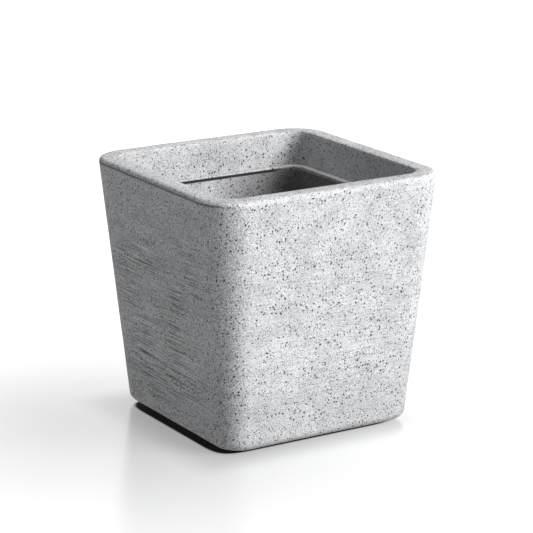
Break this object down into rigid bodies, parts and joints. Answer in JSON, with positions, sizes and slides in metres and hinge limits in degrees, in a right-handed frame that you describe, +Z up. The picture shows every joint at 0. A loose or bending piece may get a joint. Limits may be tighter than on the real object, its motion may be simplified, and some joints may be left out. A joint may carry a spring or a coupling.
{
  "type": "planter box",
  "caption": "Square tapered planter with rounded corners and a thick rim, a lift-out liner on an inner shelf, and a water reservoir with filling tube.",
  "frame": {"origin": "on the ground under the middle of the planter, at the bottom of its feet", "axes": "+Z up; +Y to the back, so -Y is the front face; +X to the right"},
  "size_m": [0.3984, 0.3984, 0.39],
  "materials": {
    "shell": "rotomoulded polyethylene with a granite fleck, fine matt surface",
    "liner": "moulded polyethylene with a granite fleck",
    "reservoir_plastic": "injection-moulded polypropylene, dark grey, satin",
    "tube_plastic": "extruded and moulded polypropylene, near black, satin",
    "float_foam": "closed-cell foam, off white",
    "indicator": "moulded acetal rod, red, smooth",
    "soft_rubber": "moulded rubber, black, matt",
    "handle_steel": "stainless steel round bar, bent, drawn finish",
    "screw_steel": "zinc-plated steel"
  },
  "bodies": {
    "shell": {"outer_shell": "shell", "foot_front_left": "soft_rubber", "foot_front_right": "soft_rubber", "foot_back_left": "soft_rubber", "foot_back_right": "soft_rubber", "foot_screw_front_left": "screw_steel", "foot_screw_front_right": "screw_steel", "foot_screw_back_left": "screw_steel", "foot_screw_back_right": "screw_steel"},
    "liner": {"liner": "liner"},
    "bung": {"drain_bung": "soft_rubber"},
    "handle_left": {"lift_handle_left": "handle_steel"},
    "handle_right": {"lift_handle_right": "handle_steel"},
    "separator": {"water_separator": "reservoir_plastic", "fill_tube": "tube_plastic"},
    "cup_left": {"wick_cup_left": "reservoir_plastic"},
    "cup_right": {"wick_cup_right": "reservoir_plastic"},
    "cap": {"tube_cap": "tube_plastic"},
    "float": {"level_float": "float_foam", "indicator_rod": "indicator"}
  },
  "joints": [
    {"name": "liner_lift", "type": "slide", "parent": "shell", "child": "liner", "axis": [0, 0, 1], "range_m": [0, 0.37]},
    {"name": "bung_pull", "type": "slide", "parent": "liner", "child": "bung", "axis": [0, 0, 1], "range_m": [0, 0.03]},
    {"name": "left_handle_swing", "type": "hinge", "parent": "liner", "child": "handle_left", "pos_m": [-0.12697, 0.12697, 0.3404], "axis": [0.7071, 0.7071, 0], "range_deg": [0, 95]},
    {"name": "right_handle_swing", "type": "hinge", "parent": "liner", "child": "handle_right", "pos_m": [0.12697, -0.12697, 0.3404], "axis": [-0.7071, -0.7071, 0], "range_deg": [0, 95]},
    {"name": "separator_lift", "type": "slide", "parent": "liner", "child": "separator", "axis": [0, 0, 1], "range_m": [0, 0.31]},
    {"name": "left_cup_lift", "type": "slide", "parent": "separator", "child": "cup_left", "axis": [0, 0, 1], "range_m": [0, 0.08]},
    {"name": "right_cup_lift", "type": "slide", "parent": "separator", "child": "cup_right", "axis": [0, 0, 1], "range_m": [0, 0.08]},
    {"name": "cap_pull", "type": "slide", "parent": "separator", "child": "cap", "axis": [0, 0, 1], "range_m": [0, 0.04]},
    {"name": "float_rise", "type": "slide", "parent": "separator", "child": "float", "axis": [0, 0, 1], "range_m": [0, 0.045]}
  ]
}
